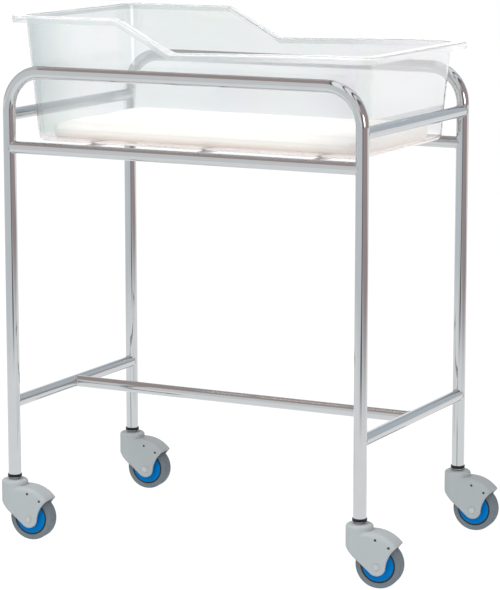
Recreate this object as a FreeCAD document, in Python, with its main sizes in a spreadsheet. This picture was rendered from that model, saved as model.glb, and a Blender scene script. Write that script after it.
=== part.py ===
import FreeCAD, Part
import math
import os
import re
import Sketcher

# Hospital bassinet: a chromed tube trolley on four swivel casters, with a clear
# lift-off tub and a mattress. Millimetres and degrees, +Z up. The origin is on the
# floor at the middle of the four legs. +X runs to the foot end, +Y to the rear side.

SIZES = {
    # frame: legs, rails and bars; heights run from the floor, drops from the top rail, to tube axes
    "leg_span_x": 751.0,
    "leg_span_y": 467.0,
    "leg_od": 25.0,
    "leg_wall": 1.5,
    "leg_bottom_gap": 5.4,
    "bend_radius": 72.0,
    "top_rail_z": 924.0,
    "bar_od": 24.0,
    "bar_wall": 1.5,
    "tub_rail_drop": 147.0,
    "upper_bar_drop": 84.0,
    "lower_bar_z": 272.0,
    "stretcher_od": 23.0,
    "stretcher_wall": 1.5,
    # rods under the tub, welded between the tub rails
    "rod_dia": 8.0,
    "rod_sink": 10.5,
    "rod_head_setback": 156.5,
    "rod_foot_setback": 110.5,
    # tub: its base stands inside the frame by the gaps, its rim hangs over the top rails
    "tub_seat_gap": 0.3,
    "tub_middle_x": 6.0,
    "tub_end_gap": 11.7,
    "tub_side_gap": 24.2,
    "tub_wall": 3.0,
    "tub_draft": 3.9,
    "tub_corner_radius": 34.0,
    "tub_base_radius": 13.0,
    "rim_overhang": 24.7,
    "rim_rail_gap": 21.0,
    "rim_corner_radius": 40.0,
    "rim_lip_depth": 13.0,
    "rim_edge_radius": 4.5,
    "rim_kink_radius": 16.0,
    "rim_head_run": 247.5,
    "rim_slope_run": 113.0,
    "rim_slope_drop": 59.8,
    "rim_foot_rise": 7.0,
    "rim_foot_level": 110.0,
    "rim_blend_radius": 900.0,
    # mattress
    "mattress_gap": 0.3,
    "mattress_end_gap": 10.0,
    "mattress_side_gap": 14.0,
    "mattress_thickness": 31.0,
    "mattress_corner_radius": 32.0,
    "mattress_edge_radius": 9.0,
    "cover_thickness": 1.0,
    # casters: swivel head and housing
    "head_radius": 26.0,
    "head_rise": 10.7,
    "head_edge_radius": 6.0,
    "caster_trail": 40.0,
    "cheek_half_width": 25.5,
    "cheek_thickness": 3.5,
    "cheek_edge_radius": 1.2,
    "cheek_slope": 41.0,
    "cheek_tip_radius": 17.5,
    "cheek_tip_end": 7.0,
    "cheek_back_radius": 60.0,
    "hood_gap": 19.3,
    "hood_radius": 67.0,
    "hood_setback": 12.8,
    "hood_end_angle": 39.6,
    "hood_edge_radius": 9.0,
    "hood_wall": 3.0,
    "hole_radius": 2.4,
    "hole_setback": 11.6,
    "hole_high_angle": 78.7,
    "hole_low_angle": 48.7,
    "block_rear_x": 18.0,
    "block_height": 32.0,
    "well_gap": 3.5,
    # casters: stem, bearing and plug
    "stem_radius": 6.0,
    "stem_hole_gap": 1.5,
    "stem_flange_radius": 9.0,
    "stem_flange_height": 3.5,
    "stem_nut_radius": 9.5,
    "stem_nut_height": 3.8,
    "stem_pin_radius": 5.5,
    "stem_pin_length": 38.0,
    "swivel_gap": 0.6,
    "flange_gap": 0.3,
    "bearing_radius": 13.0,
    "bearing_height": 14.0,
    "bearing_cover": 4.0,
    "running_gap": 0.05,
    "plug_collar_rim": 1.5,
    "plug_length": 32.0,
    # casters: wheel
    "wheel_radius": 44.0,
    "tyre_half_width": 14.0,
    "tyre_shoulder": 3.5,
    "tyre_thickness": 10.4,
    "core_half_width": 12.5,
    "core_rim_thickness": 5.0,
    "core_web_half": 3.0,
    "hub_radius": 11.0,
    "hub_half_width": 13.5,
    "bush_radius": 7.0,
    "guard_groove": 3.6,
    "guard_thickness": 1.5,
    "guard_dish": 1.0,
    "guard_hole_gap": 1.0,
    "axle_radius": 4.0,
    "axle_head_radius": 6.0,
    "axle_head_height": 1.0,
    "spacer_radius": 7.5,
    "spacer_gap": 0.4,
    # headings of the casters, turned from +X towards +Y
    "head_front_heading": 6.0,
    "head_rear_heading": 5.0,
    "foot_front_heading": 7.0,
    "foot_rear_heading": 3.0,
}

# Corners of the trolley: name, side along X, side along Y.
CORNERS = (("head_front", -1, -1), ("head_rear", -1, 1), ("foot_front", 1, -1), ("foot_rear", 1, 1))

# Heights and places worked out from the sizes.
HOOD_TOP = "(2 * wheel_radius + hood_gap)"
HEAD_TOP = f"({HOOD_TOP} + head_rise)"
BLOCK_BOTTOM = f"({HEAD_TOP} - block_height)"
BEARING_TOP = f"({HEAD_TOP} - bearing_cover)"
STEM_HOLE_RADIUS = "(stem_radius + stem_hole_gap)"
PLUG_BOTTOM = f"({HEAD_TOP} + swivel_gap + stem_nut_height)"
LEG_BOTTOM = f"({PLUG_BOTTOM} + leg_bottom_gap)"
CHEEK_INNER = "(cheek_half_width - cheek_thickness)"
HOOD_X = "(caster_trail - hood_setback)"
CORE_RADIUS = "(wheel_radius - tyre_thickness)"
CORE_INNER = f"({CORE_RADIUS} - core_rim_thickness)"
GUARD_RADIUS = f"({CORE_RADIUS} - guard_groove)"
GUARD_HOLE_RADIUS = "(spacer_radius + guard_hole_gap)"
TUB_RAIL_Z = "(top_rail_z - tub_rail_drop)"
UPPER_BAR_Z = "(top_rail_z - upper_bar_drop)"
ROD_RISE = "(bar_od / 2 + rod_dia / 2 - rod_sink)"
ROD_HEAD_X = "(-leg_span_x / 2 + rod_head_setback)"
ROD_FOOT_X = "(leg_span_x / 2 - rod_foot_setback)"
TUB_BOTTOM = f"({TUB_RAIL_Z} + {ROD_RISE} + rod_dia / 2 + tub_seat_gap)"
# The tub's own heights run from its bottom.
RIM_LOW = f"(top_rail_z + leg_od / 2 + rim_rail_gap + rim_lip_depth - {TUB_BOTTOM})"
RIM_HEAD = f"({RIM_LOW} + rim_slope_drop)"
RIM_FOOT = f"({RIM_LOW} + rim_foot_rise)"
TUB_HEIGHT = f"({RIM_HEAD} + rim_lip_depth)"
BASE_X = "(leg_span_x / 2 - bar_od / 2 - tub_end_gap)"
BASE_Y = "(leg_span_y / 2 - leg_od / 2 - tub_side_gap)"
RIM_X = f"({BASE_X} + {RIM_LOW} * tan(tub_draft * 1 deg) + rim_overhang)"
RIM_Y = f"({BASE_Y} + {RIM_LOW} * tan(tub_draft * 1 deg) + rim_overhang)"
SLOPE_START_X = f"(rim_head_run - {RIM_X})"
SLOPE_END_X = f"({SLOPE_START_X} + rim_slope_run)"
FOOT_LEVEL_X = f"({RIM_X} - rim_foot_level)"

TOUCH = 1e-4   # lengths closer than this count as equal
ALONG = 0.9    # a normal with more than this share of an axis faces along it
ACROSS = 0.2   # and one with less than this share lies across it
UPWARD = 0.5   # a normal that rises more than this looks up

doc = FreeCAD.newDocument("HospitalBassinet")
sheet = doc.addObject("Spreadsheet::Sheet", "Size")
parts = {}


def fill_sheet():
    """Write every size into its own cell, with its name as the cell's alias."""
    for row, (name, number) in enumerate(SIZES.items(), start=1):
        sheet.set(f"A{row}", name)
        sheet.set(f"B{row}", str(number))
        sheet.setAlias(f"B{row}", name)
    doc.recompute()


def sized(text):
    """Point the names in an expression, which all hold an underscore, at the sheet."""
    return re.sub(r"\b([a-z]+(?:_[a-z]+)+)\b", r"Size.\1", str(text))


def value(text):
    return float(sheet.evalExpression(sized(text)))


def bind(item, name, text):
    item.setExpression(name, sized(text))


def place(item, x="0", y="0", z="0", heading="0"):
    """Stand an object at a place in the frame, turned about Z."""
    item.Placement = FreeCAD.Placement(FreeCAD.Vector(), FreeCAD.Rotation(FreeCAD.Vector(0, 0, 1), 1))
    bind(item, "Placement.Base.x", x)
    bind(item, "Placement.Base.y", y)
    bind(item, "Placement.Base.z", z)
    bind(item, "Placement.Rotation.Angle", f"{heading} * 1 deg")


def keep(label, item):
    """Name a finished sub-part."""
    item.Label = label
    parts[label] = item
    return item


# ---------------------------------------------------------------- sketches

def body_sketch(body, plane, rise="0"):
    """A sketch on one of the body's own origin planes, lifted along its normal."""
    sketch = body.newObject("Sketcher::SketchObject", "sketch")
    origin_plane = next(item for item in body.Origin.OriginFeatures if item.Role == plane)
    sketch.AttachmentSupport = (origin_plane, [""])
    sketch.MapMode = "FlatFace"
    if rise != "0":
        bind(sketch, "AttachmentOffset.Base.z", rise)
    return sketch


def fix(sketch, kind, *where, size):
    """Add a dimension to a sketch and bind it to the sheet."""
    number = sketch.addConstraint(Sketcher.Constraint(kind, *where, value(size)))
    sketch.setExpression(f"Constraints[{number}]", sized(size))


def circle(sketch, radius, x="0", y="0"):
    middle = FreeCAD.Vector(value(x), value(y), 0)
    ring = sketch.addGeometry(Part.Circle(middle, FreeCAD.Vector(0, 0, 1), value(radius)), False)
    fix(sketch, "Radius", ring, size=radius)
    fix(sketch, "DistanceX", -1, 1, ring, 3, size=x)
    fix(sketch, "DistanceY", -1, 1, ring, 3, size=y)


def arc_between(start, end, radius, turn):
    """An arc of a given radius from start to end; turn is 1 for left, -1 for right."""
    chord = end - start
    half = chord.Length / 2
    side = FreeCAD.Vector(-chord.y, chord.x, 0).normalize() * turn
    sagitta = radius - math.sqrt(max(radius ** 2 - half ** 2, 0))
    return Part.Arc(start, (start + end) / 2 - side * sagitta, end)


def outline(sketch, steps, closed=True):
    """A chain of lines and arcs. A step is (x, y), or (x, y, radius, turn) for an arc to it."""
    count = len(steps)
    corners = [FreeCAD.Vector(value(step[0]), value(step[1]), 0) for step in steps]
    ends = []
    for number in range(count if closed else count - 1):
        start, end, step = corners[number], corners[(number + 1) % count], steps[(number + 1) % count]
        if len(step) == 2:
            edge = sketch.addGeometry(Part.LineSegment(start, end), False)
        else:
            edge = sketch.addGeometry(arc_between(start, end, value(step[2]), step[3]), False)
            fix(sketch, "Radius", edge, size=step[2])
        first = min((1, 2), key=lambda point: (sketch.getPoint(edge, point) - start).Length)
        ends.append((edge, first, 3 - first))
    for number, (edge, first, last) in enumerate(ends):
        fix(sketch, "DistanceX", -1, 1, edge, first, size=steps[number][0])
        fix(sketch, "DistanceY", -1, 1, edge, first, size=steps[number][1])
        if closed or number + 1 < len(ends):
            following, following_first, _ = ends[(number + 1) % len(ends)]
            sketch.addConstraint(Sketcher.Constraint("Coincident", edge, last, following, following_first))
        else:
            fix(sketch, "DistanceX", -1, 1, edge, last, size=steps[-1][0])
            fix(sketch, "DistanceY", -1, 1, edge, last, size=steps[-1][1])


# ---------------------------------------------------------------- PartDesign features

def new_body(label):
    return keep(label, doc.addObject("PartDesign::Body", label))


def pad(body, sketch, length, both_ways=True):
    feature = body.newObject("PartDesign::Pad", "pad")
    feature.Profile = sketch
    feature.SideType = "Symmetric" if both_ways else "One side"
    bind(feature, "Length", length)
    doc.recompute()
    return feature


def pocket(body, sketch, length=None, both_ways=True, up=False):
    """Cut a sketch out of the body, right through when no length is given."""
    before = body.Shape.Volume
    feature = body.newObject("PartDesign::Pocket", "pocket")
    feature.Profile = sketch
    feature.SideType = "Symmetric" if both_ways else "One side"
    feature.Reversed = up
    if length is None:
        feature.Type = "ThroughAll"
    else:
        bind(feature, "Length", length)
    doc.recompute()
    if not body.Shape.Volume < before:
        raise RuntimeError(f"{body.Label}: a pocket cuts nothing")
    return feature


def revolve(body, sketch):
    """Turn a sketch about its own vertical axis."""
    feature = body.newObject("PartDesign::Revolution", "revolution")
    feature.Profile = sketch
    feature.ReferenceAxis = (sketch, ["V_Axis"])
    feature.Angle = 360
    doc.recompute()


def turned(label, plane, *profiles):
    """A body of revolution. In a profile, x is the radius and y runs along the axis."""
    body = new_body(label)
    body.AllowCompound = len(profiles) > 1
    for steps in profiles:
        sketch = body_sketch(body, plane)
        outline(sketch, steps)
        revolve(body, sketch)
    return body


def fillet(body, feature, radius, wanted):
    """Round the edges of a feature for which wanted(edge, normals of its two faces) holds."""
    names = [f"Edge{number}" for number, edge in enumerate(feature.Shape.Edges, start=1)
             if wanted(edge, *face_normals(feature.Shape, edge))]
    rounding = body.newObject("PartDesign::Fillet", "fillet")
    rounding.Base = (feature, names)
    bind(rounding, "Radius", radius)
    doc.recompute()
    return rounding


def face_normals(shape, edge):
    """The normals, at the edge's middle, of the two faces that meet there."""
    middle = edge.valueAt((edge.FirstParameter + edge.LastParameter) / 2)
    faces = shape.ancestorsOfType(edge, Part.Face)
    normals = [face.normalAt(*face.Surface.parameter(middle)) for face in faces]
    return (normals * 2)[:2]


# ---------------------------------------------------------------- Part features

def solid(kind, **sizes):
    item = doc.addObject(kind, kind.split("::")[1])
    for name, text in sizes.items():
        bind(item, name, text)
    return item


def joined(kind, first, second):
    """Part::Cut, Part::Fuse or Part::Common of two objects."""
    item = doc.addObject(kind, kind.split("::")[1])
    item.Base = first
    item.Tool = second
    item.Refine = True
    doc.recompute()
    return item


def rounded(item, radius, wanted):
    """Part::Fillet of the edges for which wanted(edge, normals of its two faces) holds."""
    doc.recompute()
    size = value(radius)
    rounding = doc.addObject("Part::Fillet", "Fillet")
    rounding.Base = item
    rounding.Edges = [(number, size, size) for number, edge in enumerate(item.Shape.Edges, start=1)
                      if wanted(edge, *face_normals(item.Shape, edge))]
    doc.recompute()
    return rounding


def rises(edge, *_):
    """True for an edge that climbs, such as a box's upright corner."""
    box = edge.BoundBox
    return box.ZLength > max(box.XLength, box.YLength)


# ---------------------------------------------------------------- frame

def side_frame(label, side):
    """One tube bent to an inverted U: two legs and a top rail."""
    body = new_body(label)
    half = "leg_span_x / 2"
    path = body_sketch(body, "XZ_Plane")
    outline(path, [
        (f"-{half}", LEG_BOTTOM),
        (f"-{half}", "top_rail_z - bend_radius"),
        (f"-{half} + bend_radius", "top_rail_z", "bend_radius", -1),
        (f"{half} - bend_radius", "top_rail_z"),
        (half, "top_rail_z - bend_radius", "bend_radius", -1),
        (half, LEG_BOTTOM),
    ], closed=False)
    ring = body_sketch(body, "XY_Plane", LEG_BOTTOM)
    circle(ring, "leg_od / 2", f"-{half}")
    circle(ring, "leg_od / 2 - leg_wall", f"-{half}")
    tube = body.newObject("PartDesign::AdditivePipe", "bent_tube")
    tube.Profile = ring
    tube.Spine = path
    doc.recompute()
    place(body, y=f"{side} * leg_span_y / 2")


def straight_tube(label, ring_plane, length, diameter, wall, cope_plane, copes):
    """A tube whose ends are coped, each by a circle (radius, x, y) on the cope plane."""
    body = new_body(label)
    ring = body_sketch(body, ring_plane)
    circle(ring, f"{diameter} / 2")
    if wall:
        circle(ring, f"{diameter} / 2 - {wall}")
    pad(body, ring, length)
    cope = body_sketch(body, cope_plane)
    for radius, x, y in copes:
        circle(cope, radius, x, y)
    pocket(body, cope)
    return body


def frame():
    side_frame("front_side_frame", -1)
    side_frame("rear_side_frame", 1)
    half_x, half_y = "leg_span_x / 2", "leg_span_y / 2"
    for label, side in (("front_tub_rail", -1), ("rear_tub_rail", 1)):
        copes = [("leg_od / 2", f"-{half_x}", "0"), ("leg_od / 2", half_x, "0")]
        rail = straight_tube(label, "YZ_Plane", "leg_span_x", "bar_od", "bar_wall", "XY_Plane", copes)
        place(rail, y=f"{side} * {half_y}", z=TUB_RAIL_Z)
    for end, side in (("head", -1), ("foot", 1)):
        for level, height in (("upper", UPPER_BAR_Z), ("lower", "lower_bar_z")):
            copes = [("leg_od / 2", "0", f"-{half_y}"), ("leg_od / 2", "0", half_y)]
            bar = straight_tube(f"{end}_{level}_cross_bar", "XZ_Plane", "leg_span_y", "bar_od", "bar_wall",
                                "XY_Plane", copes)
            place(bar, x=f"{side} * {half_x}", z=height)
    copes = [("bar_od / 2", f"-{half_x}", "0"), ("bar_od / 2", half_x, "0")]
    stretcher = straight_tube("centre_stretcher", "YZ_Plane", "leg_span_x", "stretcher_od", "stretcher_wall",
                              "XZ_Plane", copes)
    place(stretcher, z="lower_bar_z")
    middle_x = f"(({ROD_HEAD_X} + {ROD_FOOT_X}) / 2)"
    for name, rod_x in (("head", ROD_HEAD_X), ("middle", middle_x), ("foot", ROD_FOOT_X)):
        copes = [("bar_od / 2", f"-{half_y}", f"-{ROD_RISE}"), ("bar_od / 2", half_y, f"-{ROD_RISE}")]
        rod = straight_tube(f"{name}_support_rod", "XZ_Plane", "leg_span_y", "rod_dia", None,
                            "YZ_Plane", copes)
        place(rod, x=rod_x, z=f"{TUB_RAIL_Z} + {ROD_RISE}")


# ---------------------------------------------------------------- casters

def leg_plug(corner):
    """Insert that closes the tube's end and holds the stem."""
    return turned(f"{corner}_leg_plug", "XZ_Plane", [
        ("stem_pin_radius", PLUG_BOTTOM),
        ("leg_od / 2 + plug_collar_rim", PLUG_BOTTOM),
        ("leg_od / 2 + plug_collar_rim", LEG_BOTTOM),
        ("leg_od / 2 - leg_wall", LEG_BOTTOM),
        ("leg_od / 2 - leg_wall", f"{LEG_BOTTOM} + plug_length"),
        ("stem_pin_radius", f"{LEG_BOTTOM} + plug_length"),
    ])


def caster_stem(corner):
    """Pin in the plug, collar nut under it, journal and flange in the swivel head."""
    flange_top = f"({BEARING_TOP} - bearing_height - flange_gap)"
    return turned(f"{corner}_caster_stem", "XZ_Plane", [
        ("0", f"{flange_top} - stem_flange_height"),
        ("stem_flange_radius", f"{flange_top} - stem_flange_height"),
        ("stem_flange_radius", flange_top),
        ("stem_radius", flange_top),
        ("stem_radius", f"{HEAD_TOP} + swivel_gap"),
        ("stem_nut_radius", f"{HEAD_TOP} + swivel_gap"),
        ("stem_nut_radius", PLUG_BOTTOM),
        ("stem_pin_radius", PLUG_BOTTOM),
        ("stem_pin_radius", f"{PLUG_BOTTOM} + stem_pin_length"),
        ("0", f"{PLUG_BOTTOM} + stem_pin_length"),
    ])


def swivel_bearing(corner):
    return turned(f"{corner}_swivel_bearing", "XZ_Plane", [
        ("stem_radius + running_gap", f"{BEARING_TOP} - bearing_height"),
        ("bearing_radius", f"{BEARING_TOP} - bearing_height"),
        ("bearing_radius", BEARING_TOP),
        ("stem_radius + running_gap", BEARING_TOP),
    ])


def caster_housing(corner):
    """Swivel head with a hood and two cheeks; local +X trails, the wheel turns about Y."""
    body = new_body(f"{corner}_caster_housing")
    hood_z = f"({HOOD_TOP} - hood_radius)"
    tip_x = f"{HOOD_X} + hood_radius * cos(hood_end_angle * 1 deg)"
    tip_z = f"{hood_z} + hood_radius * sin(hood_end_angle * 1 deg)"
    low_x = "(caster_trail - cheek_tip_radius * sin(cheek_slope * 1 deg))"
    low_z = "(wheel_radius - cheek_tip_radius * cos(cheek_slope * 1 deg))"

    def slope_z(x):
        """Height of the cheek's leading edge at x."""
        return f"{low_z} + ({low_x} - ({x})) * tan(cheek_slope * 1 deg)"

    side = body_sketch(body, "XZ_Plane")
    outline(side, [
        ("0", HOOD_TOP),
        (HOOD_X, HOOD_TOP),
        (tip_x, tip_z, "hood_radius", -1),
        ("caster_trail + cheek_tip_radius * cos(cheek_tip_end * 1 deg)",
         "wheel_radius - cheek_tip_radius * sin(cheek_tip_end * 1 deg)", "cheek_back_radius", 1),
        (low_x, low_z, "cheek_tip_radius", -1),
        ("0", slope_z("0")),
    ])
    shell = pad(body, side, "2 * cheek_half_width")
    hood_z_now = value(hood_z)
    hood = fillet(body, shell, "hood_edge_radius", lambda edge, one, other: (
        max(abs(one.y), abs(other.y)) > ALONG and max(one.z, other.z) > UPWARD
        and edge.CenterOfMass.z > hood_z_now))
    fillet(body, hood, "cheek_edge_radius", lambda edge, one, other: (
        max(abs(one.y), abs(other.y)) > ALONG and min(abs(one.y), abs(other.y)) < ACROSS
        and max(one.z, other.z) < UPWARD and edge.BoundBox.XMax > TOUCH))

    head = body_sketch(body, "XY_Plane")
    circle(head, "head_radius")
    pad(body, head, HEAD_TOP, both_ways=False)
    below = body_sketch(body, "XZ_Plane")
    outline(below, [
        ("-2 * head_radius", slope_z("-2 * head_radius")),
        (low_x, low_z),
        (f"{low_x}", "-head_rise"),
        ("-2 * head_radius", "-head_rise"),
    ])
    cut = pocket(body, below)
    top_now = value(HEAD_TOP)
    fillet(body, cut, "head_edge_radius", lambda edge, *_: abs(edge.BoundBox.ZMin - top_now) < TOUCH)

    well = body_sketch(body, "XZ_Plane")
    circle(well, "wheel_radius + well_gap", "caster_trail", "wheel_radius")
    pocket(body, well, f"2 * {CHEEK_INNER}")
    inside = "(hood_radius - hood_wall)"
    hollow = body_sketch(body, "XZ_Plane")
    outline(hollow, [
        ("block_rear_x", "wheel_radius"),
        ("block_rear_x", f"{HOOD_TOP} - hood_wall"),
        (HOOD_X, f"{HOOD_TOP} - hood_wall"),
        (f"{HOOD_X} + {inside} * cos(hood_end_angle * 1 deg)",
         f"{hood_z} + {inside} * sin(hood_end_angle * 1 deg)", inside, -1),
        (f"{HOOD_X} + {inside} * cos(hood_end_angle * 1 deg)", "wheel_radius"),
    ])
    pocket(body, hollow, f"2 * {CHEEK_INNER}")
    bores = ((CHEEK_INNER, BLOCK_BOTTOM), ("bearing_radius", BEARING_TOP), (STEM_HOLE_RADIUS, None))
    for radius, length in bores:
        bore = body_sketch(body, "XY_Plane")
        circle(bore, radius)
        pocket(body, bore, length, both_ways=False, up=True)
    holes = body_sketch(body, "XZ_Plane")
    circle(holes, "axle_radius", "caster_trail", "wheel_radius")
    for angle in ("hole_high_angle", "hole_low_angle"):
        circle(holes, "hole_radius", f"{HOOD_X} + (hood_radius - hole_setback) * cos({angle} * 1 deg)",
               f"{hood_z} + (hood_radius - hole_setback) * sin({angle} * 1 deg)")
    pocket(body, holes)
    return body


def wheel_axle(corner):
    """Pin through both cheeks, with a flat head outside each."""
    return turned(f"{corner}_wheel_axle", "XY_Plane", [
        ("0", "-cheek_half_width - axle_head_height"),
        ("axle_head_radius", "-cheek_half_width - axle_head_height"),
        ("axle_head_radius", "-cheek_half_width"),
        ("axle_radius", "-cheek_half_width"),
        ("axle_radius", "cheek_half_width"),
        ("axle_head_radius", "cheek_half_width"),
        ("axle_head_radius", "cheek_half_width + axle_head_height"),
        ("0", "cheek_half_width + axle_head_height"),
    ])


def axle_spacers(corner):
    """Two sleeves on the axle, between the wheel and the cheeks."""
    near, far = "(hub_half_width + spacer_gap)", CHEEK_INNER
    return turned(f"{corner}_axle_spacers", "XY_Plane", *[[
        ("axle_radius", f"{sign}{near}"),
        ("spacer_radius", f"{sign}{near}"),
        ("spacer_radius", f"{sign}{far}"),
        ("axle_radius", f"{sign}{far}"),
    ] for sign in ("", "-")])


def wheel_bush(corner):
    return turned(f"{corner}_wheel_bush", "XY_Plane", [
        ("axle_radius + running_gap", "-hub_half_width"),
        ("bush_radius", "-hub_half_width"),
        ("bush_radius", "hub_half_width"),
        ("axle_radius + running_gap", "hub_half_width"),
    ])


def wheel_core(corner):
    """Hub, web and rim in one profile."""
    return turned(f"{corner}_wheel_core", "XY_Plane", [
        ("bush_radius", "-hub_half_width"),
        ("hub_radius", "-hub_half_width"),
        ("hub_radius", "-core_web_half"),
        (CORE_INNER, "-core_web_half"),
        (CORE_INNER, "-core_half_width"),
        (CORE_RADIUS, "-core_half_width"),
        (CORE_RADIUS, "core_half_width"),
        (CORE_INNER, "core_half_width"),
        (CORE_INNER, "core_web_half"),
        ("hub_radius", "core_web_half"),
        ("hub_radius", "hub_half_width"),
        ("bush_radius", "hub_half_width"),
    ])


def thread_guards(corner):
    """Two dished discs, one on each side of the wheel core."""
    outer_face = "(hub_half_width + guard_thickness)"
    return turned(f"{corner}_thread_guards", "XY_Plane", *[[
        (GUARD_HOLE_RADIUS, f"{sign}hub_half_width"),
        (GUARD_HOLE_RADIUS, f"{sign}{outer_face}"),
        (f"{GUARD_RADIUS} - guard_thickness", f"{sign}({outer_face} - guard_dish / 2)"),
        (GUARD_RADIUS, f"{sign}({outer_face} - guard_dish)"),
        (GUARD_RADIUS, f"{sign}core_half_width"),
        (CORE_INNER, f"{sign}core_half_width"),
        (CORE_INNER, f"{sign}hub_half_width"),
    ] for sign in ("", "-")])


def tyre(corner):
    edge = "(tyre_half_width - tyre_shoulder)"
    return turned(f"{corner}_tyre", "XY_Plane", [
        (CORE_RADIUS, "-tyre_half_width"),
        ("wheel_radius - tyre_shoulder", "-tyre_half_width"),
        ("wheel_radius", f"-{edge}", "tyre_shoulder", 1),
        ("wheel_radius", edge),
        ("wheel_radius - tyre_shoulder", "tyre_half_width", "tyre_shoulder", 1),
        (CORE_RADIUS, "tyre_half_width"),
    ])


def casters():
    for corner, side_x, side_y in CORNERS:
        leg_x, leg_y = f"{side_x} * leg_span_x / 2", f"{side_y} * leg_span_y / 2"
        heading = f"{corner}_heading"
        for make in (leg_plug, caster_stem):
            place(make(corner), leg_x, leg_y)
        for make in (swivel_bearing, caster_housing):
            place(make(corner), leg_x, leg_y, heading=heading)
        axle_x = f"{leg_x} + caster_trail * cos({heading} * 1 deg)"
        axle_y = f"{leg_y} + caster_trail * sin({heading} * 1 deg)"
        for make in (wheel_axle, axle_spacers, wheel_bush, wheel_core, thread_guards, tyre):
            place(make(corner), axle_x, axle_y, "wheel_radius", heading)


# ---------------------------------------------------------------- tub

def tapered_box(inset, lift):
    """The tub's walls as a solid: narrower at the base, rounded corners and base edge."""
    flare = f"{TUB_HEIGHT} * tan(tub_draft * 1 deg)"
    base_x, base_y = f"({BASE_X} - {inset})", f"({BASE_Y} - {inset})"
    top_x, top_y = f"({BASE_X} + {flare} - {inset})", f"({BASE_Y} + {flare} - {inset})"
    box = solid("Part::Wedge", Ymin="0", Ymax=TUB_HEIGHT,
                Xmax=base_x, Xmin=f"-{base_x}", Zmax=base_y, Zmin=f"-{base_y}",
                X2max=top_x, X2min=f"-{top_x}", Z2max=top_y, Z2min=f"-{top_y}")
    box.Placement = FreeCAD.Placement(FreeCAD.Vector(), FreeCAD.Rotation(FreeCAD.Vector(1, 0, 0), 90))
    bind(box, "Placement.Base.z", lift)
    corners = rounded(box, f"tub_corner_radius - {inset}", rises)
    base_z = value(lift)
    return rounded(corners, f"tub_base_radius - {inset}",
                   lambda edge, *_: edge.BoundBox.ZMax < base_z + TOUCH)


def bend(x, z, radius, before, after, turn):
    """Where an arc of the radius starts and ends that rounds the corner at (x, z)."""
    reach = f"{radius} * tan(({after} - ({before})) / 2) * {turn}"
    return [(f"{x} - {reach} * cos({before})", f"{z} - {reach} * sin({before})"),
            (f"{x} + {reach} * cos({after})", f"{z} + {reach} * sin({after})", radius, turn)]


def under_rim(drop, reach):
    """Everything under the rim's top line, lowered by drop: the line seen from the side."""
    sketch = doc.addObject("Sketcher::SketchObject", "rim_line")
    sketch.Placement = FreeCAD.Placement(FreeCAD.Vector(), FreeCAD.Rotation(FreeCAD.Vector(1, 0, 0), 90))
    level = "0 * 1 deg"
    down = "-atan(rim_slope_drop / rim_slope_run)"
    up = f"atan(rim_foot_rise / ({FOOT_LEVEL_X} - {SLOPE_END_X}))"
    beyond = f"2 * {RIM_X}"
    outline(sketch, [
        (f"-{beyond}", "-rim_lip_depth"),
        (f"-{beyond}", f"{RIM_HEAD} - {drop}"),
        *bend(SLOPE_START_X, f"({RIM_HEAD} - {drop})", "rim_kink_radius", level, down, -1),
        *bend(SLOPE_END_X, f"({RIM_LOW} - {drop})", "rim_kink_radius", down, up, 1),
        *bend(FOOT_LEVEL_X, f"({RIM_FOOT} - {drop})", "rim_blend_radius", up, level, -1),
        (beyond, f"{RIM_FOOT} - {drop}"),
        (beyond, "-rim_lip_depth"),
    ])
    block = doc.addObject("Part::Extrusion", "Extrusion")
    block.Base = sketch
    block.DirMode = "Custom"
    block.Dir = FreeCAD.Vector(0, 1, 0)
    block.Solid = True
    block.Symmetric = True
    bind(block, "LengthFwd", reach)
    doc.recompute()
    return block


def rim_block(inset):
    """The rim's outline in plan, as an upright block with rounded corners."""
    block = solid("Part::Box", Length=f"2 * ({RIM_X} - {inset})", Width=f"2 * ({RIM_Y} - {inset})",
                  Height=TUB_HEIGHT)
    bind(block, "Placement.Base.x", f"{inset} - {RIM_X}")
    bind(block, "Placement.Base.y", f"{inset} - {RIM_Y}")
    return rounded(block, f"rim_corner_radius - {inset}", rises)


def tub():
    """One thermoformed piece: walls and base, a flange on top and a lip turned down."""
    reach = f"4 * {RIM_Y}"
    rim_top = joined("Part::Common", rim_block("0"), under_rim("0", reach))
    rim_top = rounded(rim_top, "rim_edge_radius", lambda edge, one, other: (
        max(one.z, other.z) > UPWARD and min(abs(one.z), abs(other.z)) < ACROSS))
    band = joined("Part::Cut", rim_top, under_rim("rim_lip_depth", reach))
    under_flange = joined("Part::Common", rim_block("tub_wall"), under_rim("tub_wall", reach))
    flange = joined("Part::Cut", band, under_flange)
    walls = joined("Part::Common", tapered_box("0", "0"), under_rim("0", reach))
    walls = joined("Part::Fuse", walls, flange)
    open_tub = joined("Part::Cut", walls, tapered_box("tub_wall", "tub_wall"))
    final = rounded(open_tub, "rim_edge_radius", lambda edge, one, other: (
        max(one.z, other.z) > UPWARD and min(abs(one.z), abs(other.z)) < ACROSS
        and edge.BoundBox.ZMin > value("tub_base_radius")))
    place(keep("tub", final), x="tub_middle_x", z=TUB_BOTTOM)


# ---------------------------------------------------------------- mattress

def cushion(inset):
    """A soft-cornered block; the foam is the cover's outside set in by its thickness."""
    floor_x = f"({BASE_X} - tub_wall - mattress_end_gap - {inset})"
    floor_y = f"({BASE_Y} - tub_wall - mattress_side_gap - {inset})"
    block = solid("Part::Box", Length=f"2 * {floor_x}", Width=f"2 * {floor_y}",
                  Height=f"mattress_thickness - 2 * {inset}")
    bind(block, "Placement.Base.x", f"-{floor_x}")
    bind(block, "Placement.Base.y", f"-{floor_y}")
    bind(block, "Placement.Base.z", inset)
    corners = rounded(block, f"mattress_corner_radius - {inset}", rises)
    return rounded(corners, f"mattress_edge_radius - {inset}",
                   lambda edge, *_: edge.BoundBox.ZLength < TOUCH)


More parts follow.
